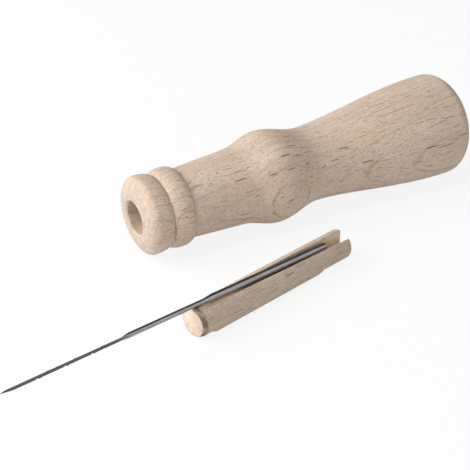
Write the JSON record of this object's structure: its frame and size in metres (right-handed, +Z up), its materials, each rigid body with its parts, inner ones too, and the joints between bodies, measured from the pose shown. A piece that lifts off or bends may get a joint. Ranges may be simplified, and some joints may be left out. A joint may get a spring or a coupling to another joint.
{
  "type": "scratch awl",
  "caption": "Bare beech awl handle with a beaded, bored end, and a grooved wooden plug that carries a stepped steel needle with a barbed three-sided blade, laid out drawn from the handle.",
  "frame": {"origin": "on the surface that the set lies on, under the middle of the set's box", "axes": "+X from the handle's mouth to its butt, in plan; +Z up; the plug and needle lie on the -Y side of the handle"},
  "size_m": [0.1584, 0.0652, 0.0296],
  "materials": {
    "handle_beech": "unvarnished, fine sanded",
    "plug_beech": "unvarnished dowel, fine sanded",
    "needle_steel": "drawn wire, satin"
  },
  "bodies": {
    "handle": {"handle": "handle_beech"},
    "plug": {"plug": "plug_beech"},
    "needle": {"needle": "needle_steel"}
  },
  "joints": [
    {"name": "plug_slide", "type": "slide", "parent": "handle", "child": "plug", "axis": [-0.9736, -0.2284, 0], "range_m": [0, 0.046]},
    {"name": "needle_slide", "type": "slide", "parent": "plug", "child": "needle", "axis": [-0.9587, -0.2115, 0.1902], "range_m": [0, 0.045]}
  ]
}
